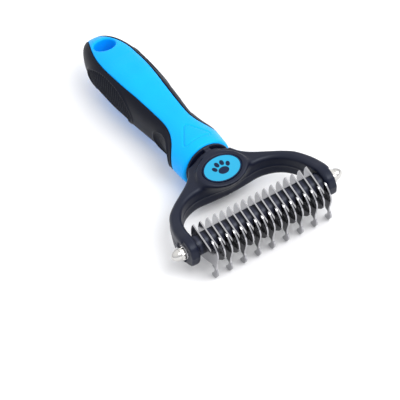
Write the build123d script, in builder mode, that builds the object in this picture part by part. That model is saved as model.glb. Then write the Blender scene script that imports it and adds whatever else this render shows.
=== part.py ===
"""Undercoat rake: a Y-shaped head frame that holds a pack of steel blades on a
keyed axle, and a two-colour handle with soft side grips.  Millimetres, +Z up.
The handle runs along +Y, the axle along X, and the long hooks reach z = 0."""
from build123d import *
import math
import os

# ---- driving dimensions -------------------------------------------------
AXLE_Z = 15.4               # axle height over the tips of the long hooks
BLADE_REACH = 18.4          # front of the blades, ahead of the axle
HANDLE_END = 165.8          # butt of the handle, behind the axle
AXLE_Y = (BLADE_REACH - HANDLE_END) / 2    # centres the whole rake on y = 0

BLADE_COUNT = 17
BLADE_PITCH = 4.345
BLADE_THICK = 0.8
SPACER_LENGTH = BLADE_PITCH - BLADE_THICK
SPACER_RADIUS = 5.5
PACK_HALF = (BLADE_COUNT * BLADE_PITCH + SPACER_LENGTH) / 2

KEY_RADIUS = 2.5            # the axle's round size
KEY_FLATS = 4.0             # across its two flats
KEY_STOP = 0.6              # the keyed part ends this far inside each seat
THREAD_RADIUS = 2.0
THREAD_CHAMFER = 0.5

BOSS_THICK = 5.8            # wall that the nut clamps against the pack
BOSS_RADIUS = 8.6
SEAT_X = PACK_HALF + BOSS_THICK             # where each washer sits
THREAD_END = SEAT_X + 4.9   # half length of the whole axle
ARM_OUTER = 45.6            # outer face of each arm beside its seat
SEAT_RADIUS = 5.6           # round pocket round the nut

WASHER_THICK = 0.5
WASHER_RADIUS = 4.0
WASHER_BORE = 2.08
WASHER_CHAMFER = 0.2
NUT_FLATS = 7.0
NUT_HEX_LENGTH = 3.0
NUT_LENGTH = 7.3
NUT_BORE = 2.05             # running fit on the thread
NUT_BORE_DEPTH = 5.4
TIP_RADIUS = 1.3            # flat left on the crown of the nut
DOME_START = NUT_HEX_LENGTH - 0.4   # the dome's foot, sunk into the hexagon
DOME_BEND = NUT_HEX_LENGTH + 0.9    # its straight wall ends here

COLLAR_Y = 48.6             # rear face of the neck ring, front of the handle
COLLAR_RADIUS = 13.3
GROOVE_RADIUS = 10.2
SHOULDER_RADIUS = 11.8
TANG_RADIUS = 7.5
TANG_END = 96.0
SHOULDER_Y = COLLAR_Y - 3.6     # front of the neck groove's front wall
GROOVE_FRONT, GROOVE_REAR = COLLAR_Y - 3.0, COLLAR_Y - 1.4
RIB_WIDTH = 3.4             # the two ribs that bridge the neck groove
RIB_INSET = 0.6             # their tops, below the ring

BADGE_Y, BADGE_Z = 32.1, 9.4     # middle of the sloping pad under the badge
BADGE_TILT = 14.0           # degrees: the pad climbs towards the handle
BADGE_X_RADIUS = 11.1
BADGE_Y_RADIUS = 8.2
BADGE_THICK = 1.2
BADGE_RECESS = 0.9
BADGE_ROUND = 0.5
PAD_X_RADIUS = 13.8
PAD_Y_RADIUS = 11.0
PAD_EDGE = 1.4              # straight edge of the pad, over its undercut
PAD_UNDERCUT = 5.0          # how far the pad draws in down to the axle's level

HOLE_Y = 149.3              # hang hole
HOLE_RADIUS = 6.0
GRIP_DEPTH = 2.4
SOCKET_PLAY = 0.5           # room past the end of the tang in the handle

INNER_ROUND = 2.2           # rounding of the bow's lower inner edge
PACK_PLAY = 0.2             # room round the end spacers in the bosses

BOW_STOCK = 12.0            # half depth of the bow before its side profile is cut
REACH = 60.0                # half length of cuts that run right across the head
DEPTH = 25.0                # half height of cuts that run right through the handle
POCKET_STOCK = 20.0         # size of the block that opens each nut pocket in front

os.makedirs("parts", exist_ok=True)


def save(piece, name):
    """Label a finished piece and write it under its node name."""
    piece.label = name
    export_step(piece, f"parts/{name}.step")


def side_plane(x):
    """Plane across the axle at x, with its axes along +Y and +Z."""
    return Plane(origin=(x, AXLE_Y, AXLE_Z), x_dir=(0, 1, 0), z_dir=(1, 0, 0))


def cross_plane(y, rise=0.0):
    """Plane across the handle, y behind the axle."""
    return Plane(origin=(0, AXLE_Y + y, AXLE_Z + rise), x_dir=(1, 0, 0), z_dir=(0, 1, 0))


def plan_plane(z):
    """Level plane, z over the axle."""
    return Plane(origin=(0, AXLE_Y, AXLE_Z + z), x_dir=(1, 0, 0), z_dir=(0, 0, 1))


def badge_plane(height):
    """Sloping plane of the badge, a height over the top of its pad."""
    tilt = math.radians(BADGE_TILT)
    top = Plane(origin=(0, AXLE_Y + BADGE_Y, AXLE_Z + BADGE_Z), x_dir=(1, 0, 0),
                z_dir=(0, -math.sin(tilt), math.cos(tilt)))
    return top.offset(height)


def key_section():
    """Round section with two flats, shared by the axle and its holes."""
    with BuildSketch() as section:
        Circle(KEY_RADIUS)
        Rectangle(2 * KEY_RADIUS, KEY_FLATS, mode=Mode.INTERSECT)
    return section.sketch


# ---- blades --------------------------------------------------------------
FIN_TOP = (5.1, 9.7)
FIN_BACK = (8.2, 0)
FIN_BOTTOM = (5.1, -9.7)
GULLET = (-11.9, 2.8)
TOOTH_BACK = (-12.5, 10.6)
FRONT = (-BLADE_REACH, 4.7)
HOOK_FOOT = (-11.0, -AXLE_Z)
UNDERSIDE = (-6.0, -7.6)
HOOK_ROOT = (-9.4, -6.5)


def blade_face(hooked):
    """One stamped blade: a fin behind, a tooth in front and above, and below
    it either a long hook with a rounded foot or a plain rounded corner."""
    with BuildSketch() as face:
        with BuildLine():
            Polyline(FIN_TOP, GULLET, TOOTH_BACK)
            Spline(TOOTH_BACK, (-13.4, 12.0), (-15.4, 10.8), (-17.2, 8.4), FRONT,
                   tangents=((-0.1, 0.6), (0, -1)), tangent_scalars=(1, 1))
            if hooked:
                Spline(FRONT, (-17.6, 1.2), (-16.2, -2.1), (-14.8, -5.0), (-14.5, -7.0),
                       (-15.4, -9.4), (-15.3, -11.2), (-14.1, -13.3), (-12.7, -14.8), HOOK_FOOT,
                       tangents=((0, -1), (1, 0)))
                Spline(HOOK_FOOT, (-8.9, -14.8), (-9.5, -13.3), (-11.4, -11.6), (-12.3, -9.9),
                       (-12.2, -8.2), (-11.1, -6.9), HOOK_ROOT, tangents=((1, 0), (1, 0)))
                Line(HOOK_ROOT, UNDERSIDE)
            else:
                Spline(FRONT, (-17.6, 1.0), (-15.4, -2.4), (-12.2, -4.8), (-9.2, -6.6), UNDERSIDE,
                       tangents=((0, -1), (1, -0.3)))
            Line(UNDERSIDE, FIN_BOTTOM)
            ThreePointArc(FIN_BOTTOM, FIN_BACK, FIN_TOP)
        make_face()
        add(key_section(), mode=Mode.SUBTRACT)
    return face.sketch


HOOKED_FACE = blade_face(hooked=True)
PLAIN_FACE = blade_face(hooked=False)
first_blade_x = -(BLADE_COUNT - 1) / 2 * BLADE_PITCH

for number in range(BLADE_COUNT):
    centre_x = first_blade_x + number * BLADE_PITCH
    flat = HOOKED_FACE if number % 2 == 0 else PLAIN_FACE
    with BuildPart() as blade:
        with BuildSketch(side_plane(centre_x - BLADE_THICK / 2)):
            add(flat)
        extrude(amount=BLADE_THICK)
    save(blade.part, f"blade_{number + 1:02d}")

# ---- spacers: one between each two blades and one at each end ------------
for number in range(BLADE_COUNT + 1):
    left_x = -PACK_HALF + number * BLADE_PITCH
    with BuildPart() as spacer:
        with BuildSketch(side_plane(left_x)):
            Circle(SPACER_RADIUS)
            add(key_section(), mode=Mode.SUBTRACT)
        extrude(amount=SPACER_LENGTH)
    save(spacer.part, f"spacer_{number + 1:02d}")

# ---- axle: keyed through the pack and the bosses, threaded at both ends --
KEYED_HALF = SEAT_X - KEY_STOP
with BuildPart() as axle_rod:
    with BuildSketch(side_plane(-KEYED_HALF)):
        add(key_section())
    extrude(amount=2 * KEYED_HALF)
    with BuildSketch(side_plane(-THREAD_END)):
        Circle(THREAD_RADIUS)
    extrude(amount=2 * THREAD_END)
    end_faces = axle_rod.faces().filter_by(Axis.X)
    for end in (end_faces.sort_by(Axis.X)[0], end_faces.sort_by(Axis.X)[-1]):
        chamfer(end.edges(), length=THREAD_CHAMFER)
save(axle_rod.part, "axle_rod")

# ---- washers and dome nuts ----------------------------------------------
NUT_CORNER_RADIUS = NUT_FLATS / math.sqrt(3)
DOME_RADIUS = NUT_FLATS / 2 - 0.1

for side, name in ((-1, "left"), (1, "right")):
    outward = Plane(origin=(side * SEAT_X, AXLE_Y, AXLE_Z), x_dir=(0, 1, 0), z_dir=(side, 0, 0))
    with BuildPart() as washer:
        with BuildSketch(outward):
            Circle(WASHER_RADIUS)
            Circle(WASHER_BORE, mode=Mode.SUBTRACT)
        extrude(amount=WASHER_THICK)
        chamfer(washer.faces().sort_by(Axis.X)[0 if side < 0 else -1].edges().sort_by(
            SortBy.LENGTH)[-1], length=WASHER_CHAMFER)
    save(washer.part, f"washer_{name}")

    base = outward.offset(WASHER_THICK)
    with BuildPart() as nut:
        with BuildSketch(base):
            RegularPolygon(NUT_CORNER_RADIUS, 6)
        extrude(amount=NUT_HEX_LENGTH)
        with BuildSketch(Plane(origin=base.origin, x_dir=(side, 0, 0), z_dir=(0, 0, 1))):
            with BuildLine():
                Polyline((DOME_START, 0), (DOME_START, DOME_RADIUS), (DOME_BEND, DOME_RADIUS))
                Spline((DOME_BEND, DOME_RADIUS), (NUT_LENGTH - 1.3, 2.75),
                       (NUT_LENGTH, TIP_RADIUS), tangents=((1, 0), (0, -1)))
                Polyline((NUT_LENGTH, TIP_RADIUS), (NUT_LENGTH, 0), (DOME_START, 0))
            make_face()
        revolve(axis=Axis(base.origin, (side, 0, 0)))
        with BuildSketch(base):
            Circle(NUT_BORE)
        extrude(amount=NUT_BORE_DEPTH, mode=Mode.SUBTRACT)
    save(nut.part, f"nut_{name}")

# ---- head frame ----------------------------------------------------------
ARM_OUTLINE = [(ARM_OUTER, -BOSS_RADIUS - 1), (ARM_OUTER, -2.0), (45.2, 6.0), (43.3, 14.0),
               (39.4, 22.2), (34.0, 27.6), (27.2, 32.4), (20.6, 37.0), (16.3, 41.2), (13.6, 46.0)]
BAY_OUTLINE = [(PACK_HALF, -BOSS_RADIUS - 1), (PACK_HALF, -2.0), (37.9, 7.0), (35.8, 15.2),
               (31.8, 21.8), (26.5, 26.0), (19.0, 28.2), (10.0, 27.6), (0, 26.9)]
with BuildPart() as head_frame:
    # the bow in plan, mirrored about the middle
    with BuildSketch(plan_plane(-BOW_STOCK)):
        with BuildLine():
            Spline(*ARM_OUTLINE, tangents=((0, 1), (-0.6, 1)))
            Line(ARM_OUTLINE[-1], (0, ARM_OUTLINE[-1][1]))
            Line((0, ARM_OUTLINE[-1][1]), BAY_OUTLINE[-1])
            Spline(*BAY_OUTLINE[::-1], tangents=((1, 0), (0, -1)))
            Line(BAY_OUTLINE[0], ARM_OUTLINE[0])
        make_face()
        mirror(about=Plane.YZ)
    extrude(amount=2 * BOW_STOCK)
    # its depth from the side: round bosses, flatter arms, deeper at the neck
    with BuildSketch(side_plane(-REACH)):
        with BuildLine():
            top = Spline((-BOSS_RADIUS, 0), (-6.4, 5.9), (0, BOSS_RADIUS - 0.2), (8, 7.6), (18, 6.8),
                         (28, 6.7), (37, 7.0), (43, 8.0), (46, 9.0), tangents=((0, 1), (1, 0.4)))
            mirror(top, about=Plane.XZ)
            Line((46, 9.0), (46, -9.0))
        make_face()
    extrude(amount=2 * REACH, mode=Mode.INTERSECT)
    inner_edge = head_frame.edges().sort_by(SortBy.LENGTH)[-1]
    fillet(inner_edge, radius=INNER_ROUND)
    # neck turned about the handle axis: shoulder, groove, ring and tang
    with BuildSketch(plan_plane(0)):
        with BuildLine():
            Spline((6.0, 38.0), (8.0, 42.0), (SHOULDER_RADIUS, SHOULDER_Y),
                   tangents=((0.1, 1), (1, 0.6)))
            Polyline((SHOULDER_RADIUS, SHOULDER_Y), (SHOULDER_RADIUS, GROOVE_FRONT),
                     (GROOVE_RADIUS, GROOVE_FRONT), (GROOVE_RADIUS, GROOVE_REAR),
                     (COLLAR_RADIUS, GROOVE_REAR), (COLLAR_RADIUS, COLLAR_Y),
                     (TANG_RADIUS, COLLAR_Y), (TANG_RADIUS, TANG_END), (0, TANG_END),
                     (0, 38.0), (6.0, 38.0))
        make_face()
    revolve(axis=Axis((0, AXLE_Y, AXLE_Z), (0, 1, 0)))
    with BuildSketch(cross_plane(SHOULDER_Y + 0.3)):
        Rectangle(RIB_WIDTH, 2 * (COLLAR_RADIUS - RIB_INSET))
    extrude(amount=GROOVE_REAR - SHOULDER_Y)
    # sloping pad under the badge, drawn in underneath, and its shallow recess
    for plane, shift, shrink in ((badge_plane(0), 0, 0), (badge_plane(-PAD_EDGE), 0, 0),
                                 (plan_plane(0), BADGE_Y, PAD_UNDERCUT)):
        with BuildSketch(plane):
            with Locations((0, shift)):
                Ellipse(PAD_X_RADIUS - shrink, PAD_Y_RADIUS - shrink)
    loft(ruled=True)
    with BuildSketch(badge_plane(-BADGE_RECESS)):
        Ellipse(BADGE_X_RADIUS, BADGE_Y_RADIUS)
    extrude(amount=BADGE_Z, mode=Mode.SUBTRACT)
    # flat seats for the end spacers, a keyed bore through both bosses, and
    # the open pockets that seat the nuts
    with BuildSketch(side_plane(-PACK_HALF)):
        Circle(SPACER_RADIUS + PACK_PLAY)
    extrude(amount=2 * PACK_HALF, mode=Mode.SUBTRACT)
    with BuildSketch(side_plane(-REACH)):
        add(key_section())
    extrude(amount=2 * REACH, mode=Mode.SUBTRACT)
    for side in (-1, 1):
        seat = Plane(origin=(side * SEAT_X, AXLE_Y, AXLE_Z), x_dir=(0, 1, 0), z_dir=(side, 0, 0))
        with BuildSketch(seat):
            Circle(SEAT_RADIUS)
            with Locations((-POCKET_STOCK / 2, 0)):
                Rectangle(POCKET_STOCK, 2 * POCKET_STOCK)
        extrude(amount=POCKET_STOCK, mode=Mode.SUBTRACT)
save(head_frame.part, "head_frame")

# ---- badge: a plain domed oval --------------------------------------------
with BuildPart() as badge:
    with BuildSketch(badge_plane(-BADGE_RECESS)):
        Ellipse(BADGE_X_RADIUS, BADGE_Y_RADIUS)
    extrude(amount=BADGE_THICK)
    fillet(badge.faces().sort_by(Axis.Z)[-1].edges(), radius=BADGE_ROUND)
save(badge.part, "badge")

# ---- handle ----------------------------------------------------------------
# Stations behind the axle: distance, half width, half height.
STATIONS = [(COLLAR_Y, 13.7, 13.5), (49.3, 14.3, 14.0), (51.0, 14.8, 14.2), (56.0, 15.2, 14.0),
            (61.0, 15.4, 13.4), (66.0, 14.4, 12.9), (70.0, 12.9, 12.6), (75.0, 11.6, 12.2),
            (80.0, 11.2, 12.0), (86.0, 11.5, 11.9), (94.0, 12.4, 12.0), (104.0, 13.2, 12.6),
            (114.0, 13.6, 13.3), (124.0, 14.0, 13.5), (134.0, 14.0, 12.8)]
BUTT_START, BUTT_WIDTH, BUTT_HEIGHT = STATIONS[-1]
BUTT_STEPS = (0.25, 0.47, 0.66, 0.81, 0.92, 0.975, 0.998)
REAR_RISE, RISE_LENGTH = 2.8, 60.0      # the rear of the handle lies higher than the neck
SQUARE_START, SQUARE_LENGTH = 62.0, 26.0
SQUARENESS = 0.8            # the round front turns into a rounded square
SECTION_POINTS = 32


def rise(y):
    """Height of the handle's centre line over the axle."""
    return REAR_RISE * math.sin(math.pi / 2 * min(1.0, (y - COLLAR_Y) / RISE_LENGTH))


def exponent(y):
    """Power of the section's superellipse: 2 is an ellipse, more is squarer."""
    share = min(1.0, max(0.0, (y - SQUARE_START) / SQUARE_LENGTH))
    return 2 + SQUARENESS * share ** 2 * (3 - 2 * share)


def section_points(y, width, height):
    """Points round a superellipse, the first not repeated at the end."""
    points = []
    for number in range(SECTION_POINTS):
        angle = 2 * math.pi * number / SECTION_POINTS
        c, s = math.cos(angle), math.sin(angle)
        radius = (abs(c) ** exponent(y) + abs(s) ** exponent(y)) ** (-1 / exponent(y))
        points.append((width * radius * c, height * radius * s))
    return points


def handle_stations():
    """All stations, with the rounded butt worked out as part of an ellipsoid."""
    rounded = []
    for step in BUTT_STEPS:
        shrink = math.sqrt(1 - step ** 2)
        y = BUTT_START + step * (HANDLE_END - BUTT_START)
        rounded.append((y, BUTT_WIDTH * shrink, BUTT_HEIGHT * shrink))
    return STATIONS + rounded


def handle_loft(inset, first, last):
    """The handle's outer form, or its core when inset, between two stations."""
    with BuildPart() as form:
        for y, width, height in handle_stations()[first:last]:
            with BuildSketch(cross_plane(y, rise(y))):
                with BuildLine():
                    Spline(*section_points(y, width - inset, height - inset), periodic=True)
                make_face()
        loft()
    return form.part


FULL_HANDLE = handle_loft(0.0, 0, None)
CORE = handle_loft(GRIP_DEPTH, 0, -3)

# Edge of each side grip in plan: half width of the blue strip along the handle.
STRIP_EDGE = [(17.0, 57.2), (15.6, 59.2), (13.4, 61.6), (11.3, 64.2), (9.6, 67.2), (8.3, 70.4),
              (7.4, 74.6), (7.1, 79.5), (7.4, 86.0), (7.9, 94.0), (8.7, 104.0), (9.6, 114.0),
              (10.1, 124.0), (10.1, 134.0), (9.5, 142.0), (7.9, 149.0), (5.8, 155.0),
              (4.0, 159.8), (2.5, 163.6), (1.8, 167.0)]
GRIP_SIDE = 22.0            # well outside the handle

GRIPS = {}
for side, name in ((-1, "left"), (1, "right")):
    with BuildPart() as grip:
        with BuildSketch(plan_plane(-DEPTH)):
            with BuildLine():
                edge = Spline(*[(side * x, y) for x, y in STRIP_EDGE])
                Polyline(edge @ 1, (side * GRIP_SIDE, STRIP_EDGE[-1][1]),
                         (side * GRIP_SIDE, STRIP_EDGE[0][1]), edge @ 0)
            make_face()
        extrude(amount=2 * DEPTH)
        add(FULL_HANDLE, mode=Mode.INTERSECT)
        add(CORE, mode=Mode.SUBTRACT)
    GRIPS[name] = grip.part
    save(grip.part, f"grip_{name}")

with BuildPart() as handle_body:
    add(FULL_HANDLE)
    for grip_part in GRIPS.values():
        add(grip_part, mode=Mode.SUBTRACT)
    with BuildSketch(cross_plane(COLLAR_Y)):
        Circle(TANG_RADIUS)
    extrude(amount=TANG_END - COLLAR_Y + SOCKET_PLAY, mode=Mode.SUBTRACT)
    with BuildSketch(plan_plane(-DEPTH)):
        with Locations((0, HOLE_Y)):
            Circle(HOLE_RADIUS)
    extrude(amount=2 * DEPTH, mode=Mode.SUBTRACT)
save(handle_body.part, "handle_body")
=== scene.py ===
"""Looks of the undercoat rake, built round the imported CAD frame.

The moulded parts are carved as distance fields on a grid and turned into meshes, so that their
edges and blends are rounded as moulded plastic is.  Shapes are written in millimetres from the
middle of the axle: x along the axle, y towards the butt of the handle, z up out of the badge side.
"""
import math

import bpy
import numpy as np
import openvdb
from mathutils import Matrix, Vector


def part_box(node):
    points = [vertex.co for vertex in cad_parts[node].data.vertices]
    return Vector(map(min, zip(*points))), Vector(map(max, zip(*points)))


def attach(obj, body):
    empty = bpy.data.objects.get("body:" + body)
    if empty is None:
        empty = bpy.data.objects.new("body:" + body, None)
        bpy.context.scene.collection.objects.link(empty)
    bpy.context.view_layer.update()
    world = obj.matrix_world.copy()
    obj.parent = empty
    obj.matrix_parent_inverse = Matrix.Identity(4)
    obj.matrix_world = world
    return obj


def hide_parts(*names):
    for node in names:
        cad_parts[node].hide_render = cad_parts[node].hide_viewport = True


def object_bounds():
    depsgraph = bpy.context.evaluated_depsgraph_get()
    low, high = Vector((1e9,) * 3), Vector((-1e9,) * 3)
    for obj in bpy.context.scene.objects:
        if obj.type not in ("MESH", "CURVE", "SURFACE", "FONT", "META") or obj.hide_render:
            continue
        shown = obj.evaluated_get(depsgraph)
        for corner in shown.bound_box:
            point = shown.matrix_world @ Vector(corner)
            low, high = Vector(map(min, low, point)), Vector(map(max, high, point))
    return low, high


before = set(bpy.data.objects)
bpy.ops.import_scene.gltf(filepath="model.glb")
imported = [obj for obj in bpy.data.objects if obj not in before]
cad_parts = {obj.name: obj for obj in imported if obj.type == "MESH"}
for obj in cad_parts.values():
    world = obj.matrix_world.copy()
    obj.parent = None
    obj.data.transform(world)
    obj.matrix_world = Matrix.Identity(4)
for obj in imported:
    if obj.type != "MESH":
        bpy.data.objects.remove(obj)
cad_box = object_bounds()

MM = 0.001
AXLE_LOW, AXLE_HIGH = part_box("axle_rod")
AXLE = (AXLE_LOW + AXLE_HIGH) / 2
COARSE = 0.4         # grid step of the head's moulding, in mm
MEDIUM = 0.46        # grid step of the handle
FINE = 0.28          # grid step of the ribbed grips, in mm


def place(x, y, z):
    """A point given in mm from the middle of the axle, in the row frame."""
    return Vector((x * MM, AXLE.y + y * MM, AXLE.z + z * MM))


# ---- sizes, in mm -----------------------------------------------------------
seat_x = (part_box("washer_right")[0].x) / MM          # where the washers sit
pack_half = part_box("spacer_18")[1].x / MM            # inner faces of the bosses
handle_end = (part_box("handle_body")[1].y - AXLE.y) / MM
collar_y = (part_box("handle_body")[0].y - AXLE.y) / MM
badge_low, badge_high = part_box("badge")
badge_y = ((badge_low.y + badge_high.y) / 2 - AXLE.y) / MM
badge_z = ((badge_low.z + badge_high.z) / 2 - AXLE.z) / MM
badge_rx = (badge_high.x - badge_low.x) / 2 / MM
badge_ry = 8.2                                       # along its slope
badge_tilt = math.radians(14.0)                      # the badge climbs towards the handle
badge_thick, badge_recess = 1.2, 0.9


# ---- materials --------------------------------------------------------------
def new_material(name):
    """A new material; returns it with its node tree, its shader and a maker of nodes."""
    material = bpy.data.materials.new(name)
    material.use_nodes = True
    tree = material.node_tree
    shader = tree.nodes["Principled BSDF"]

    def node(kind, **inputs):
        made = tree.nodes.new(kind)
        for key, value in inputs.items():
            made.inputs[key.replace("_", " ")].default_value = value
        return made

    return material, tree, shader, node


def moulded(name, color, variation, roughness, grain_scale, grain_strength, specular):
    """Moulded plastic or rubber: faint mottling of colour and gloss, and a fine moulded grain."""
    material, tree, shader, node = new_material(name)
    place_node = node("ShaderNodeTexCoord")
    cloud = node("ShaderNodeTexNoise", Scale=60.0, Detail=3.0)
    grain = node("ShaderNodeTexNoise", Scale=grain_scale, Detail=2.0)
    tree.links.new(place_node.outputs["Object"], cloud.inputs["Vector"])
    tree.links.new(place_node.outputs["Object"], grain.inputs["Vector"])
    ramp = node("ShaderNodeValToRGB")
    darker = [c * (1 - variation) for c in color]
    lighter = [min(1.0, c * (1 + variation)) for c in color]
    ramp.color_ramp.elements[0].position = 0.35
    ramp.color_ramp.elements[1].position = 0.65
    ramp.color_ramp.elements[0].color = (*darker, 1)
    ramp.color_ramp.elements[1].color = (*lighter, 1)
    tree.links.new(cloud.outputs["Fac"], ramp.inputs["Fac"])
    tree.links.new(ramp.outputs["Color"], shader.inputs["Base Color"])
    gloss = node("ShaderNodeMapRange")
    gloss.inputs["To Min"].default_value = roughness - 0.04
    gloss.inputs["To Max"].default_value = roughness + 0.05
    tree.links.new(grain.outputs["Fac"], gloss.inputs["Value"])
    tree.links.new(gloss.outputs["Result"], shader.inputs["Roughness"])
    bump = node("ShaderNodeBump", Strength=grain_strength, Distance=0.00004)
    tree.links.new(grain.outputs["Fac"], bump.inputs["Height"])
    tree.links.new(bump.outputs["Normal"], shader.inputs["Normal"])
    shader.inputs["Specular IOR Level"].default_value = specular
    shader.inputs["Specular Tint"].default_value = (0.84, 0.90, 1.0, 1)
    return material


def metal(name, color, roughness, stretch, grain_strength):
    """Steel or plate: fine lines drawn out along one axis, that vary the gloss and the relief."""
    material, tree, shader, node = new_material(name)
    place_node = node("ShaderNodeTexCoord")
    mapping = node("ShaderNodeMapping")
    mapping.inputs["Scale"].default_value = stretch
    tree.links.new(place_node.outputs["Object"], mapping.inputs["Vector"])
    lines = node("ShaderNodeTexNoise", Scale=900.0, Detail=3.0)
    tree.links.new(mapping.outputs["Vector"], lines.inputs["Vector"])
    tint = node("ShaderNodeValToRGB")
    tint.color_ramp.elements[0].color = (*[c * 0.86 for c in color], 1)
    tint.color_ramp.elements[1].color = (*color, 1)
    tree.links.new(lines.outputs["Fac"], tint.inputs["Fac"])
    tree.links.new(tint.outputs["Color"], shader.inputs["Base Color"])
    gloss = node("ShaderNodeMapRange")
    gloss.inputs["To Min"].default_value = roughness * 0.7
    gloss.inputs["To Max"].default_value = roughness * 1.4
    tree.links.new(lines.outputs["Fac"], gloss.inputs["Value"])
    tree.links.new(gloss.outputs["Result"], shader.inputs["Roughness"])
    bump = node("ShaderNodeBump", Strength=grain_strength, Distance=0.00002)
    tree.links.new(lines.outputs["Fac"], bump.inputs["Height"])
    tree.links.new(bump.outputs["Normal"], shader.inputs["Normal"])
    shader.inputs["Metallic"].default_value = 1.0
    return material


def math_step(tree, kind, operation, source, amount=None):
    """Adds a math node fed by a socket, with an optional second operand; returns the node."""
    step = tree.nodes.new(kind)
    step.operation = operation
    tree.links.new(source, step.inputs[0])
    if amount is not None:
        step.inputs[1].default_value = amount
    return step


def tint_base(material, mask, color):
    """Mixes a colour over a material's base colour where the mask is one."""
    tree = material.node_tree
    shader = tree.nodes["Principled BSDF"]
    plain = shader.inputs["Base Color"].links[0].from_socket
    mix = tree.nodes.new("ShaderNodeMixRGB")
    mix.inputs["Color2"].default_value = (*color, 1)
    tree.links.new(mask, mix.inputs["Fac"])
    tree.links.new(plain, mix.inputs["Color1"])
    tree.links.new(mix.outputs["Color"], shader.inputs["Base Color"])


FLANK_CENTRE = (0, -10.0, -1.8)         # middle of the painted shade on a blade's flanks, in mm from the axle
FLANK_REACH = (9.5, 6.6)                # its half length and half height
FLANK_FADE = 0.15                       # share of that over which it fades, in and out
HIGHLIGHT_EDGE = 0.15                        # share of a spacer's length where its painted highlight starts


def paint_flank_shade(material, blade, color):
    """Paints shade on the flanks of each blade below and ahead of the axle, for the dark
    reflections of the neighbouring blades and spacers; its edges stay bright.
    """
    tree = material.node_tree
    position = tree.nodes.new("ShaderNodeTexCoord")
    middle = blade.matrix_world.inverted() @ place(*FLANK_CENTRE)
    offset = math_step(tree, "ShaderNodeVectorMath", "SUBTRACT", position.outputs["Object"], middle)
    squash = math_step(tree, "ShaderNodeVectorMath", "MULTIPLY", offset.outputs["Vector"],
                       (0, 1 / (FLANK_REACH[0] * MM), 1 / (FLANK_REACH[1] * MM)))
    reach = math_step(tree, "ShaderNodeVectorMath", "LENGTH", squash.outputs["Vector"])
    body = tree.nodes.new("ShaderNodeMapRange")
    body.inputs["From Min"].default_value = 1 + FLANK_FADE
    body.inputs["From Max"].default_value = 1 - FLANK_FADE
    tree.links.new(reach.outputs["Value"], body.inputs["Value"])
    facing = tree.nodes.new("ShaderNodeSeparateXYZ")
    tree.links.new(position.outputs["Normal"], facing.inputs["Vector"])
    flank = math_step(tree, "ShaderNodeMath", "ABSOLUTE", facing.outputs["X"])
    mask = math_step(tree, "ShaderNodeMath", "MULTIPLY", body.outputs["Result"])
    tree.links.new(flank.outputs["Value"], mask.inputs[1])
    tint_base(material, mask.outputs["Value"], color)


def paint_spacer_highlight(material, color):
    """A painted highlight: a paler band round the middle of each spacer, where the light catches
    it.
    """
    tree = material.node_tree
    position = tree.nodes.new("ShaderNodeTexCoord")
    across = tree.nodes.new("ShaderNodeSeparateXYZ")
    tree.links.new(position.outputs["Generated"], across.inputs["Vector"])
    band = tree.nodes.new("ShaderNodeValToRGB")
    band.color_ramp.elements[0].position = HIGHLIGHT_EDGE
    band.color_ramp.elements[1].position = 0.5
    far_end = band.color_ramp.elements.new(1 - HIGHLIGHT_EDGE)
    far_end.color = (0, 0, 0, 1)
    tree.links.new(across.outputs["X"], band.inputs["Fac"])
    tint_base(material, band.outputs["Color"], color)


FRAME_BLACK = moulded("frame_black", (0.0030, 0.0045, 0.0150), 0.10, 0.40, 2600.0, 0.30, 0.30)
GRIP_BLACK = moulded("grip_black", (0.0016, 0.0024, 0.0075), 0.14, 0.50, 3200.0, 0.40, 0.17)
SPACER_BLACK = moulded("spacer_black", (0.0012, 0.0018, 0.0075), 0.12, 0.34, 3000.0, 0.20, 0.30)
# painted highlight: a paler bluish band round the middle of each spacer
paint_spacer_highlight(SPACER_BLACK, (0.021, 0.023, 0.042))
HANDLE_BLUE = moulded("handle_blue", (0.0010, 0.370, 0.92), 0.03, 0.40, 2200.0, 0.12, 0.14)
BADGE_BLUE = moulded("badge_blue", (0.018, 0.300, 0.500), 0.03, 0.30, 1800.0, 0.05, 0.22)
BADGE_NAVY = moulded("badge_navy", (0.001, 0.008, 0.035), 0.10, 0.30, 1800.0, 0.05, 0.22)
BLADE_STEEL = metal("blade_steel", (0.44, 0.44, 0.46), 0.10, (1.0, 0.12, 1.0), 0.08)
# the end blade gets a copy of the steel without the painted flank shade, as its outer face is open
# to the light
END_BLADE_STEEL = metal("end_blade_steel", (0.40, 0.40, 0.42), 0.16, (1.0, 0.12, 1.0), 0.08)
# painted shade on the flanks of the inner blades, for the dark reflections of their neighbours
paint_flank_shade(BLADE_STEEL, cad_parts["blade_01"], (0.035, 0.036, 0.045))
AXLE_STEEL = metal("axle_steel", (0.50, 0.50, 0.52), 0.25, (0.1, 1.0, 1.0), 0.15)
NUT_CHROME = metal("nut_chrome", (0.60, 0.59, 0.57), 0.12, (1.0, 1.0, 1.0), 0.04)


def dress(obj, material):
    """Gives an object one material in place of those it has."""
    obj.data.materials.clear()
    obj.data.materials.append(material)


# ---- mesh tools -----------------------------------------------------------------
def add_mesh(name, vertices, faces, material):
    """A smooth-shaded mesh object, with its points given in mm from the axle."""
    mesh = bpy.data.meshes.new(name)
    points = np.asarray(vertices, dtype=np.float64) * MM + np.array((0, AXLE.y, AXLE.z))
    mesh.from_pydata(points.tolist(), [], [tuple(int(i) for i in face) for face in faces])
    mesh.update()
    mesh.shade_smooth()
    obj = bpy.data.objects.new(name, mesh)
    bpy.context.scene.collection.objects.link(obj)
    mesh.materials.append(material)
    return obj


def field_grid(low, high, step):
    """Open x, y and z axes of a grid between two corners, in mm."""
    axes = [np.arange(a, b + step, step, dtype=np.float32) for a, b in zip(low, high)]
    return np.meshgrid(*axes, indexing="ij", sparse=True)


FIELD_LIMIT = 8.0                       # distances are cut off past this many mm


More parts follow.
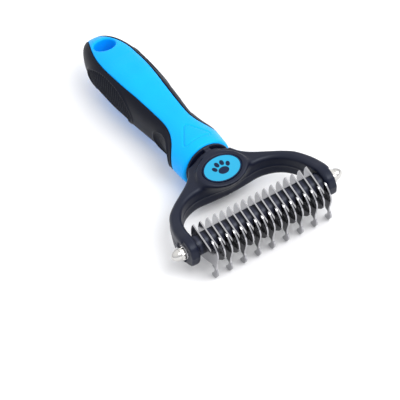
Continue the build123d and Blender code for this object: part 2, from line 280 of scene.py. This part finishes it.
def mesh_of_field(name, field, low, step, material):
    """The zero surface of a distance field, as an all-quad mesh."""
    grid = openvdb.FloatGrid(FIELD_LIMIT + 1)
    clipped = np.clip(field, -FIELD_LIMIT, FIELD_LIMIT)
    grid.copyFromArray(np.ascontiguousarray(clipped, dtype=np.float32))
    points, quads = grid.convertToQuads(isovalue=0.0)
    return add_mesh(name, points * step + np.array(low), quads[:, ::-1], material)


def curve_through(points, steps=10):
    """Catmull-Rom curve through a list of points, both ends included."""
    known = np.array([points[0]] + list(points) + [points[-1]], dtype=float)
    known[0] = 2 * known[1] - known[2]
    known[-1] = 2 * known[-2] - known[-3]
    curve = []
    for a, b, c, d in zip(known[:-3], known[1:-2], known[2:-1], known[3:]):
        for t in np.arange(steps) / steps:
            curve.append(0.5 * (2 * b + (c - a) * t + (2 * a - 5 * b + 4 * c - d) * t ** 2
                                + (3 * b - a - 3 * c + d) * t ** 3))
    curve.append(known[-2])
    return np.array(curve)


def outline_distance(u, v, outline):
    """Signed distance in a plane to a closed outline, negative inside."""
    nearest = np.full(np.broadcast(u, v).shape, 1e9, dtype=np.float32)
    inside = np.zeros(nearest.shape, dtype=bool)
    for (ax, ay), (bx, by) in zip(outline, np.roll(outline, -1, axis=0)):
        ex, ey = bx - ax, by - ay
        along = np.clip(((u - ax) * ex + (v - ay) * ey) / (ex * ex + ey * ey + 1e-12), 0, 1)
        gap = (u - ax - along * ex) ** 2 + (v - ay - along * ey) ** 2
        nearest = np.minimum(nearest, gap)
        if ay != by:
            crosses = ((ay > v) != (by > v)) & (u < ax + (v - ay) * ex / ey)
            inside ^= crosses
    nearest = np.sqrt(nearest)
    return np.where(inside, -nearest, nearest)


def both(a, b, radius):
    """What two fields share, with the edge between them rounded."""
    a, b = a + radius, b + radius
    corner = np.sqrt(np.maximum(a, 0) ** 2 + np.maximum(b, 0) ** 2)
    return np.minimum(np.maximum(a, b), 0) + corner - radius


def either(a, b, blend):
    """Two fields joined, with a fillet of about the given size between them."""
    mix = np.clip(0.5 + 0.5 * (b - a) / blend, 0, 1)
    return b + (a - b) * mix - blend * mix * (1 - mix)


def without(a, b, radius):
    """The first field with the second cut out of it, the rim rounded."""
    return both(a, -b, radius)


def oval_distance(u, v, half_u, half_v, power=2.0):
    """Distance to an ellipse, or a squarer oval, close to true near its edge."""
    u, v = np.abs(u) + 1e-4, np.abs(v) + 1e-4
    q = ((u / half_u) ** power + (v / half_v) ** power) ** (1 / power)
    slope = q ** (1 - power) * np.hypot(u ** (power - 1) / half_u ** power,
                                        v ** (power - 1) / half_v ** power)
    return (q - 1) / slope


def bump_at(value, middle, width):
    """A smooth hump of height one."""
    return np.exp(-((value - middle) / width) ** 2)


def lathe(name, profile, material, radius_at=None, segments=96):
    """Rings about the X axis from (distance along it, radius) pairs.

    radius_at(angle, along, radius) may pull each ring out of round."""
    angles = np.arange(segments) * 2 * math.pi / segments
    vertices = []
    for along, radius in profile:
        r = radius_at(angles, along, radius) if radius_at else np.full(segments, radius)
        vertices += [(along, a, b) for a, b in zip(r * np.cos(angles), r * np.sin(angles))]
    faces = []
    for ring in range(len(profile) - 1):
        for k in range(segments):
            n = (k + 1) % segments
            a, b = ring * segments, (ring + 1) * segments
            faces.append((a + k, a + n, b + n, b + k))
    last = (len(profile) - 1) * segments
    faces.append(tuple(last + k for k in range(segments)))
    faces.append(tuple(reversed(range(segments))))
    return add_mesh(name, vertices, faces, material)


# ---- head frame -------------------------------------------------------------------
ARM_EDGE = [(45.6, -9.6), (45.6, -2.0), (45.2, 6.0), (43.3, 14.0), (39.4, 22.2), (34.0, 27.6),
            (27.2, 32.4), (20.6, 37.0), (16.2, 41.2), (13.1, 46.0)]
BAY_EDGE = [(0, 26.9), (10.0, 27.6), (19.0, 28.2), (26.5, 26.0), (31.8, 21.8), (35.8, 15.2),
            (37.9, 7.0), (38.71, -2.0), (38.71, -9.6)]
SIDE_TOP = [(-8.6, 0.0), (-6.4, 5.9), (0.0, 8.4), (8.0, 7.6), (18.0, 6.8), (28.0, 6.7),
            (37.0, 7.0), (43.0, 7.6), (46.0, 8.2)]
BOW_ROUNDING = 2.5
SHOULDER_RADIUS, GROOVE_RADIUS, COLLAR_RADIUS, TANG_RADIUS = 11.8, 10.2, 13.3, 7.5
TANG_END = 96.0
NECK_START = 38.0
groove_front, groove_rear = collar_y - 3.0, collar_y - 1.4
RIB_HALF_WIDTH, RIB_INSET, RIB_OVERLAP = 1.7, 0.5, 0.4
RIDGE_HEIGHT, RIDGE_WIDTH = 0.28, 0.45      # parting ridge along the middle of the bow
RIDGE_START, RIDGE_RAMP = 2.0, 6.0
PAD_MARGIN, PAD_EDGE, PAD_DRAFT, PAD_ROUNDING = 2.7, 1.4, 0.62, 0.9
NECK_BLEND, PAD_BLEND = 3.0, 5.0
BADGE_GAP, BADGE_LIP = 0.1, 0.2
PACK_ROOM = 5.7                             # radius cleared round the end spacers
KEY_RADIUS, KEY_HALF = 2.5, 2.0             # keyed bore for the axle
POCKET_RADIUS, POCKET_LIP = 5.6, 0.35
HEAD_LOW, HEAD_HIGH = (-47.0, -10.5, -14.5), (47.0, TANG_END + 1.0, 14.5)


def bow_field(x, y, z):
    """The bow in plan and from the side, with rounded edges and a moulded parting ridge."""
    half = np.vstack([curve_through(ARM_EDGE), [(0, ARM_EDGE[-1][1])], curve_through(BAY_EDGE)])
    plan = outline_distance(np.abs(x[:, :, 0]), y[:, :, 0], half)[:, :, None]
    top = curve_through(SIDE_TOP)
    side_outline = np.vstack([top, top[::-1][:-1] * (1, -1)])
    side = outline_distance(y[0, :, 0][:, None], z[0, 0, :][None, :], side_outline)[None]
    ridge = (RIDGE_HEIGHT * bump_at(z, 0.0, RIDGE_WIDTH)
             * np.clip((y - RIDGE_START) / RIDGE_RAMP, 0, 1))
    return both(plan - ridge, side, BOW_ROUNDING)


def neck_field(x, y, z):
    """Shoulder, groove, ring and tang, turned about the handle's axis."""
    shoulder = groove_front - 0.6
    swell = curve_through([(6.0, NECK_START), (8.0, 42.0), (SHOULDER_RADIUS, shoulder)])
    steps = [(SHOULDER_RADIUS, groove_front), (GROOVE_RADIUS, groove_front),
             (GROOVE_RADIUS, groove_rear), (COLLAR_RADIUS, groove_rear),
             (COLLAR_RADIUS, collar_y), (TANG_RADIUS, collar_y), (TANG_RADIUS, TANG_END),
             (0, TANG_END), (0, NECK_START)]
    half = np.vstack([swell, steps])
    return outline_distance(np.sqrt(x ** 2 + z ** 2), y, half)


def badge_frame(y, z):
    """Distance up the badge's slope and height over the top of its pad."""
    dy = y - badge_y
    dz = z - badge_z - (badge_recess - badge_thick / 2) * math.cos(badge_tilt)
    return (dy * math.cos(badge_tilt) + dz * math.sin(badge_tilt),
            dz * math.cos(badge_tilt) - dy * math.sin(badge_tilt))


def pad_field(x, y, z):
    """The sloping pad, drawn in underneath down to the level of the axle."""
    up_slope, height = badge_frame(y, z)
    sink = PAD_DRAFT * np.maximum(-PAD_EDGE - height, 0)
    rim = oval_distance(x, up_slope, badge_rx + PAD_MARGIN - sink, badge_ry + PAD_MARGIN - sink)
    return both(rim, np.maximum(height, -z), PAD_ROUNDING)


def build_head_frame():
    x, y, z = field_grid(HEAD_LOW, HEAD_HIGH, COARSE)
    field = either(bow_field(x, y, z), neck_field(x, y, z), NECK_BLEND)
    field = either(field, pad_field(x, y, z), PAD_BLEND)
    # cut the groove and the ring of the neck again after the blends, and bridge the groove with
    # a rib above and below
    radius = np.sqrt(x ** 2 + z ** 2)
    from_groove = np.abs(y - (groove_front + groove_rear) / 2)
    half_groove = (groove_rear - groove_front) / 2
    field = np.maximum(field, -np.maximum(GROOVE_RADIUS - radius, from_groove - half_groove))
    ring = np.maximum(radius - COLLAR_RADIUS, groove_front - y)
    field = np.where(y > groove_front, np.maximum(field, ring), field)
    rib = np.maximum(np.abs(x) - RIB_HALF_WIDTH, radius - COLLAR_RADIUS + RIB_INSET)
    field = np.minimum(field, np.maximum(rib, from_groove - half_groove - RIB_OVERLAP))
    # recess for the badge
    up_slope, height = badge_frame(y, z)
    seat = np.maximum(oval_distance(x, up_slope, badge_rx + BADGE_GAP, badge_ry + BADGE_GAP),
                      -badge_recess - height)
    field = without(field, seat, BADGE_LIP)
    # room for the pack, the axle and the nuts
    axle = np.sqrt(y ** 2 + z ** 2)
    field = np.maximum(field, -np.maximum(axle - PACK_ROOM, np.abs(x) - pack_half))
    field = np.maximum(field, -np.maximum(axle - KEY_RADIUS, np.abs(z) - KEY_HALF))
    pocket = np.minimum(axle - POCKET_RADIUS, y)
    field = without(field, np.maximum(pocket, seat_x - np.abs(x)), POCKET_LIP)
    body = mesh_of_field("frame_moulding", field, HEAD_LOW, COARSE, FRAME_BLACK)
    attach(body, "rake")
    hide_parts("head_frame")


# ---- handle and grips ---------------------------------------------------------------
# distance behind the axle, half width, half height
STATIONS = [(collar_y, 13.7, 13.5), (49.3, 14.3, 14.0), (51.0, 14.8, 14.2), (56.0, 15.2, 14.0),
            (61.0, 15.4, 13.4), (66.0, 14.4, 12.9), (70.0, 12.9, 12.6), (75.0, 11.6, 12.2),
            (80.0, 11.2, 12.0), (86.0, 11.5, 11.9), (94.0, 12.4, 12.0), (104.0, 13.2, 12.6),
            (114.0, 13.6, 13.3), (124.0, 14.0, 13.5), (134.0, 14.0, 12.8)]
BUTT_START = STATIONS[-1][0]
REAR_RISE, RISE_LENGTH = 2.8, 60.0
SQUARE_START, SQUARE_LENGTH, SQUARENESS = 62.0, 26.0, 0.8
GRIP_DEPTH = 2.4
STRIP_EDGE = [(17.0, 57.2), (15.6, 59.2), (13.4, 61.6), (11.3, 64.2), (9.6, 67.2), (8.3, 70.4),
              (7.4, 74.6), (7.1, 79.5), (7.4, 86.0), (7.9, 94.0), (8.7, 104.0), (9.6, 114.0),
              (10.1, 124.0), (10.1, 134.0), (9.5, 142.0), (7.9, 149.0), (5.8, 155.0),
              (4.0, 159.8), (2.5, 163.6), (1.8, 167.0)]
HOLE_Y, HOLE_RADIUS, HOLE_LIP = 149.3, 6.0, 1.1
FRONT_ROUNDING, SEAM_ROUNDING = 0.9, 0.35
SOCKET_PLAY = 0.5
# outline cut in the front of the handle, seen from above: corners, rounding, line and depth
TRIANGLE = [(-6.4, 56.6), (6.4, 56.6), (0.0, 66.6)]
TRIANGLE_ROUNDING, LINE_HALF, LINE_SLOPE, LINE_DEPTH = 1.5, 0.15, 0.5, 0.55
LINE_ABOVE = 5.0                            # height over the axle from which the line is cut
# relief of each grip: middle along the handle and up its side, half length and half height
PAD_MIDDLE, PAD_HALF = (125.5, -1.5), (22.5, 10.8)
REST_MIDDLE, REST_HALF = (73.0, -1.2), (10.4, 8.0)
RIM_HEIGHT, PAD_DEPTH, REST_DEPTH = 0.5, 1.0, 1.3
RIB_HEIGHT, RIB_PITCH = 0.85, 2.0
RELIEF_MARGIN, RELIEF_FADE = 0.8, 1.5       # the relief stays clear of the blue strip
GRIP_PLAY, GRIP_ROUNDING = 0.12, 0.5
RIM_OUT, PAD_RIM, REST_RIM = 0.3, 0.75, 0.8         # where the rims stand, and their widths
PAD_RAMP, REST_RAMP, REST_CURVE = 0.9, 3.0, 0.8     # how the two floors fall away
HANDLE_LOW, HANDLE_HIGH = (-17.0, collar_y - 1.5, -16.0), (17.0, handle_end + 1.0, 16.0)
GRIP_LOW, GRIP_HIGH = (0.5, 55.0, -15.0), (17.0, handle_end + 1.0, 18.0)


def rise(y):
    """Height of the handle's centre line over the axle."""
    share = np.clip((y - collar_y) / RISE_LENGTH, 0, 1)
    return REAR_RISE * np.sin(share * math.pi / 2)


def exponent(y):
    """Power of the section's oval: 2 is an ellipse, more is squarer."""
    share = np.clip((y - SQUARE_START) / SQUARE_LENGTH, 0, 1)
    return 2 + SQUARENESS * share ** 2 * (3 - 2 * share)


def handle_field(x, y, z):
    """The handle's outer form, with the butt rounded off as an ellipsoid."""
    curve = curve_through(STATIONS, 24)
    ahead = np.minimum(y, BUTT_START)
    past = np.clip((y - BUTT_START) / (handle_end - BUTT_START), 0, 1.2)
    width = np.interp(ahead, curve[:, 0], curve[:, 1])
    height = np.interp(ahead, curve[:, 0], curve[:, 2])
    power = exponent(y)
    u, v = np.abs(x) + 1e-4, np.abs(z - rise(y)) + 1e-4
    ring = ((u / width) ** power + (v / height) ** power) ** (1 / power)
    q = np.hypot(ring, past)
    across = ring ** (1 - power) * np.hypot(u ** (power - 1) / width ** power,
                                            v ** (power - 1) / height ** power)
    slope = np.hypot(across * ring, past / (handle_end - BUTT_START)) / q
    return both((q - 1) / slope, collar_y + 0.02 - y, FRONT_ROUNDING)


def strip_distance(x, y):
    """How far a point lies outside the blue strip, in plan, towards its grip."""
    edge = curve_through(STRIP_EDGE)
    front, rear, inward = collar_y - 10, edge[-1, 1], -30
    closed = np.vstack([[(edge[0, 0], front)], edge, [(inward, rear)], [(inward, front)]])
    return outline_distance(np.abs(x[:, :, 0]), y[:, :, 0], closed)[:, :, None]


def build_handle():
    x, y, z = field_grid(HANDLE_LOW, HANDLE_HIGH, MEDIUM)
    form = handle_field(x, y, z)
    beyond = strip_distance(x, y)
    # room for each grip, then the socket, the hang hole and the triangle's outline
    core = form + GRIP_DEPTH
    field = np.minimum(both(form, beyond, SEAM_ROUNDING), core)
    socket = np.maximum(np.sqrt(x ** 2 + z ** 2) - TANG_RADIUS, y - TANG_END - SOCKET_PLAY)
    field = np.maximum(field, -socket)
    hole = np.sqrt(x ** 2 + (y - HOLE_Y) ** 2) - HOLE_RADIUS
    field = without(field, hole, HOLE_LIP)
    from_line = np.abs(triangle_distance(x, y)) - LINE_HALF
    line = LINE_DEPTH * np.clip(1 - from_line / LINE_SLOPE, 0, 1)
    field = np.where(z > LINE_ABOVE, field + line, field)
    body = mesh_of_field("handle_moulding", field, HANDLE_LOW, MEDIUM, HANDLE_BLUE)
    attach(body, "rake")
    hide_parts("handle_body")


def triangle_distance(x, y):
    """Distance in plan to the rounded triangle, whose apex points towards the butt."""
    plain = outline_distance(x[:, :, 0], y[:, :, 0], np.array(TRIANGLE))[:, :, None]
    return plain - TRIANGLE_ROUNDING


def grip_relief(along, up):
    """Relief of a grip's side, in mm: a ribbed oval pad and a smooth thumb rest."""
    pad = oval_distance(along - PAD_MIDDLE[0], up - PAD_MIDDLE[1], *PAD_HALF)
    rest = oval_distance(along - REST_MIDDLE[0], up - REST_MIDDLE[1], *REST_HALF)
    rim = RIM_HEIGHT * (bump_at(pad, RIM_OUT, PAD_RIM) + bump_at(rest, RIM_OUT, REST_RIM))
    inside = np.clip(-pad / PAD_RAMP, 0, 1)
    wave = 0.5 + 0.5 * np.cos(2 * math.pi * (along - PAD_MIDDLE[0]) / RIB_PITCH)
    floor = (-PAD_DEPTH * inside
             - REST_DEPTH * np.clip(-rest / REST_RAMP, 0, 1) ** REST_CURVE)
    return rim + RIB_HEIGHT * wave * inside + floor


def build_grip(side, name):
    x, y, z = field_grid(GRIP_LOW, GRIP_HIGH, FINE)
    form = handle_field(x, y, z)
    beyond = strip_distance(x, y)
    inland = np.clip((beyond - RELIEF_MARGIN) / RELIEF_FADE, 0, 1)
    skin = form - GRIP_PLAY - grip_relief(y, z - rise(y)) * inland
    field = both(skin, GRIP_PLAY - beyond, GRIP_ROUNDING)
    field = np.maximum(field, -(form + GRIP_DEPTH))
    grip = mesh_of_field("grip_pad_" + name, field, GRIP_LOW, FINE, GRIP_BLACK)
    if side < 0:
        mirror_mesh(grip)
    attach(grip, "rake")
    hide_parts("grip_" + name)


def mirror_mesh(obj):
    """Mirrors an object's mesh about the middle plane, x = 0."""
    mesh = obj.data
    points = np.empty(len(mesh.vertices) * 3)
    mesh.vertices.foreach_get("co", points)
    points[0::3] *= -1
    mesh.vertices.foreach_set("co", points)
    mesh.flip_normals()
    mesh.update()


# ---- badge ---------------------------------------------------------------------------
# share of the badge's half widths, and height over the top of the pad
BADGE_DOME = [(0.0, 0.50), (0.3, 0.48), (0.55, 0.43), (0.75, 0.36), (0.86, 0.30), (0.91, 0.25),
              (0.925, 0.33), (0.945, 0.36), (0.968, 0.32), (0.985, 0.20), (0.99, 0.0),
              (0.99, -0.85)]
FIELD_RINGS = 5


def badge_point(x, up_slope, height):
    """A point in mm from the axle, given on the badge's own sloping plane."""
    lift = height + badge_recess - badge_thick / 2
    return (x, badge_y + up_slope * math.cos(badge_tilt) - lift * math.sin(badge_tilt),
            badge_z + up_slope * math.sin(badge_tilt) + lift * math.cos(badge_tilt))


def dome_height(x, up_slope):
    """Height of the badge's dome over the top of the pad."""
    share = math.hypot(x / badge_rx, up_slope / badge_ry)
    return float(np.interp(share, *zip(*BADGE_DOME[:6])))


def build_badge():
    """A domed oval: a blue field in a thin navy rim; the paw mark on it is built apart."""
    segments = 96
    points = [badge_point(0, 0, BADGE_DOME[0][1])]
    for share, height in BADGE_DOME[1:]:
        for k in range(segments):
            angle = 2 * math.pi * k / segments
            points.append(badge_point(share * badge_rx * math.cos(angle),
                                      share * badge_ry * math.sin(angle), height))
    faces = [(0, 1 + k, 1 + (k + 1) % segments) for k in range(segments)]
    for ring in range(len(BADGE_DOME) - 2):
        a, b = 1 + ring * segments, 1 + (ring + 1) * segments
        faces += [(a + k, b + k, b + (k + 1) % segments, a + (k + 1) % segments)
                  for k in range(segments)]
    last = 1 + (len(BADGE_DOME) - 2) * segments
    faces.append(tuple(last + k for k in reversed(range(segments))))
    badge = add_mesh("badge_oval", points, faces, BADGE_BLUE)
    badge.data.materials.append(BADGE_NAVY)
    for polygon in badge.data.polygons:
        polygon.material_index = int(polygon.index >= segments * FIELD_RINGS)
    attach(badge, "rake")
    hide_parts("badge")


def build_paw():
    """A generic paw print on the badge: one large pad and four toes."""
    pads = [(0.0, -1.7, 3.0, 2.2, 0.0), (-4.0, 0.9, 1.15, 1.6, 0.45), (-1.5, 2.9, 1.2, 1.7, 0.12),
            (1.5, 2.9, 1.2, 1.7, -0.12), (4.0, 0.9, 1.15, 1.6, -0.45)]
    rings = [(0.5, 0.09), (0.85, 0.08), (1.0, 0.05), (1.0, -0.1)]
    segments = 28
    vertices, faces = [], []
    for cx, cy, rx, ry, turn in pads:
        base = len(vertices)
        for share, lift in rings:
            for k in range(segments):
                angle = 2 * math.pi * k / segments
                u, v = share * rx * math.cos(angle), share * ry * math.sin(angle)
                px = cx + u * math.cos(turn) - v * math.sin(turn)
                py = cy + u * math.sin(turn) + v * math.cos(turn)
                vertices.append(badge_point(px, py, dome_height(px, py) + lift))
        top = len(vertices)
        vertices.append(badge_point(cx, cy, dome_height(cx, cy) + rings[0][1]))
        faces += [(top, base + k, base + (k + 1) % segments) for k in range(segments)]
        for ring in range(len(rings) - 1):
            a, b = base + ring * segments, base + (ring + 1) * segments
            faces += [(a + k, b + k, b + (k + 1) % segments, a + (k + 1) % segments)
                      for k in range(segments)]
        last = base + (len(rings) - 1) * segments
        faces.append(tuple(last + k for k in reversed(range(segments))))
    paw = add_mesh("badge_paw", vertices, faces, BADGE_NAVY)
    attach(paw, "rake")


# ---- nuts -----------------------------------------------------------------------------
NUT_SHARP = math.radians(32)            # edges bent by more than this stay crisp
BORE_DEPTH, BORE_RADIUS, THREAD_RADIUS, MOUTH_RADIUS = 5.4, 1.9, 2.05, 2.3


def build_nut(side, name):
    """A chamfered hexagon with a turned dome, open to the thread behind."""
    low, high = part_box("nut_" + name)
    base = (low.x if side > 0 else high.x) / MM
    length = (high.x - low.x) / MM
    flat = (high.z - low.z) / 2 / MM

    def hexagon(angles, along, radius):
        turned = np.mod(angles + math.pi / 6, math.pi / 3) - math.pi / 6
        return np.minimum(flat / np.cos(turned), radius)

    corner = flat / math.cos(math.pi / 6)
    bore = [(BORE_DEPTH, 0.02), (BORE_DEPTH, BORE_RADIUS), (5.3, THREAD_RADIUS),
            (0.25, THREAD_RADIUS), (0.0, MOUTH_RADIUS)]
    prism = [(0.0, flat * 0.97), (0.18, flat * 1.03), (0.45, corner + 0.1), (2.2, corner + 0.1),
             (2.5, flat * 1.07), (2.75, flat), (2.9, flat * 0.975)]
    dome = [(2.95, flat * 0.92), (3.05, flat * 0.94), (3.7, flat * 0.93), (4.4, flat * 0.88),
            (5.05, flat * 0.80), (5.65, flat * 0.70), (6.15, flat * 0.60), (6.6, flat * 0.49),
            (6.95, flat * 0.38), (7.2, flat * 0.24), (length, 0.03)]
    profile = bore + prism + dome
    nut = lathe("cap_nut_" + name, [(base + side * a, r) for a, r in profile], NUT_CHROME, hexagon)
    if side < 0:
        nut.data.flip_normals()
    nut.data.set_sharp_from_angle(angle=NUT_SHARP)
    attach(nut, "nut_" + name)
    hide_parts("nut_" + name)


# ---- CAD nodes that keep their own meshes ----------------------------------------
BLADE_BREAK, SPACER_BREAK, TURNED_BREAK = 0.12, 0.15, 0.08     # widths of the bevels, in mm
BREAK_ANGLE = math.radians(50)


def soften(obj, width):
    """Breaks the sharp edges of a CAD node with a small bevel."""
    bevel = obj.modifiers.new("edge_break", "BEVEL")
    bevel.width = width * MM
    bevel.segments = 2
    bevel.limit_method = "ANGLE"
    bevel.angle_limit = BREAK_ANGLE
    bevel.harden_normals = True


def dress_cad_nodes():
    for name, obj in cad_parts.items():
        if name.startswith("blade_"):
            # blade_01, the end blade, has no painted flank shade; the other blades carry it
            dress(obj, END_BLADE_STEEL if name == "blade_01" else BLADE_STEEL)
            soften(obj, BLADE_BREAK)
        elif name.startswith("spacer_"):
            dress(obj, SPACER_BLACK)
            soften(obj, SPACER_BREAK)
        elif name.startswith(("washer_", "axle_")):
            dress(obj, AXLE_STEEL)
            soften(obj, TURNED_BREAK)


dress_cad_nodes()
build_head_frame()
build_handle()
build_grip(1, "right")
build_grip(-1, "left")
build_badge()
build_paw()
build_nut(-1, "left")
build_nut(1, "right")


# ---- stage ----------------------------------------------------------------------
FLOOR_HALF, FLOOR_GAP = 3.0, 0.0002             # metres


def build_floor():
    """A large pale floor just under the feet of the hooks."""
    mesh = bpy.data.meshes.new("floor")
    corners = [(-1, -1, 0), (1, -1, 0), (1, 1, 0), (-1, 1, 0)]
    mesh.from_pydata([Vector(c) * FLOOR_HALF for c in corners], [], [(0, 1, 2, 3)])
    floor = bpy.data.objects.new("floor", mesh)
    bpy.context.scene.collection.objects.link(floor)
    floor.location.z = cad_box[0][2] - FLOOR_GAP
    material, tree, shader, node = new_material("floor_white")
    noise = node("ShaderNodeTexNoise", Scale=40.0, Detail=2.0)
    ramp = node("ShaderNodeValToRGB")
    ramp.color_ramp.elements[0].color = (0.86, 0.86, 0.87, 1)
    ramp.color_ramp.elements[1].color = (0.89, 0.89, 0.90, 1)
    tree.links.new(noise.outputs["Fac"], ramp.inputs["Fac"])
    tree.links.new(ramp.outputs["Color"], shader.inputs["Base Color"])
    shader.inputs["Roughness"].default_value = 0.8
    dress(floor, material)


def add_area_light(name, position, target, size, power):
    data = bpy.data.lights.new(name, "AREA")
    data.shape = "DISK"
    data.size = size
    data.energy = power
    lamp = bpy.data.objects.new(name, data)
    bpy.context.scene.collection.objects.link(lamp)
    lamp.location = position
    aim = Vector(target) - Vector(position)
    lamp.rotation_euler = aim.to_track_quat("-Z", "Y").to_euler()


SKY_STRENGTH = 1.25
HORIZON, ZENITH = (0.56, 0.57, 0.61, 1), (1.0, 1.0, 1.0, 1)
LIT_POINT = (0, 0, 0.02)
KEY_PLACE, KEY_SIZE, KEY_POWER = (0.15, -0.6, 0.85), 0.6, 5.0
FILL_PLACE, FILL_SIZE, FILL_POWER = (0.7, -0.5, 0.6), 0.8, 3.0


def build_light():
    """A white studio: bright overhead, dimmer towards the horizon, with two soft lamps."""
    world = bpy.data.worlds.new("studio")
    bpy.context.scene.world = world
    world.use_nodes = True
    tree = world.node_tree
    direction = tree.nodes.new("ShaderNodeTexCoord")
    parts = tree.nodes.new("ShaderNodeSeparateXYZ")
    ramp = tree.nodes.new("ShaderNodeValToRGB")
    ramp.color_ramp.elements[0].color = HORIZON
    ramp.color_ramp.elements[1].color = ZENITH
    ramp.color_ramp.elements[1].position = 0.75
    tree.links.new(direction.outputs["Generated"], parts.inputs["Vector"])
    tree.links.new(parts.outputs["Z"], ramp.inputs["Fac"])
    background = tree.nodes["Background"]
    background.inputs["Strength"].default_value = SKY_STRENGTH
    tree.links.new(ramp.outputs["Color"], background.inputs["Color"])
    add_area_light("key", KEY_PLACE, LIT_POINT, KEY_SIZE, KEY_POWER)
    add_area_light("fill", FILL_PLACE, LIT_POINT, FILL_SIZE, FILL_POWER)


AZIMUTH, ELEVATION, ROLL = math.radians(-25.9), math.radians(42.8), math.radians(8.9)
CAMERA_DISTANCE = 4.0                           # metres, so that the view is nearly parallel
VIEW_WIDTH = 207.254                            # mm across the view at the axle
AIM_RIGHT, AIM_UP = -29.482, 7.513              # middle of the view from the axle's middle, mm
SENSOR = 36.0


def build_camera():
    """Looks down along the handle from the front left, with the head's level line tipped."""
    look = Vector((-math.sin(AZIMUTH) * math.cos(ELEVATION),
                   math.cos(AZIMUTH) * math.cos(ELEVATION), -math.sin(ELEVATION)))
    right = look.cross(Vector((0, 0, 1))).normalized()
    up = right.cross(look)
    turn = Matrix.Rotation(ROLL, 3, look)
    right, up = turn @ right, turn @ up
    aim = place(0, 0, 0) + right * (AIM_RIGHT * MM) + up * (AIM_UP * MM)
    eye = aim - look * CAMERA_DISTANCE
    camera_data = bpy.data.cameras.new("camera")
    camera_data.sensor_width = SENSOR
    camera_data.lens = SENSOR * CAMERA_DISTANCE / (VIEW_WIDTH * MM)
    camera_data.clip_end = 20.0
    camera = bpy.data.objects.new("camera", camera_data)
    bpy.context.scene.collection.objects.link(camera)
    camera.matrix_world = Matrix(((right.x, up.x, -look.x, eye.x),
                                  (right.y, up.y, -look.y, eye.y),
                                  (right.z, up.z, -look.z, eye.z), (0, 0, 0, 1)))
    bpy.context.scene.camera = camera


build_floor()
build_light()
build_camera()
bpy.context.scene.view_settings.view_transform = "Standard"
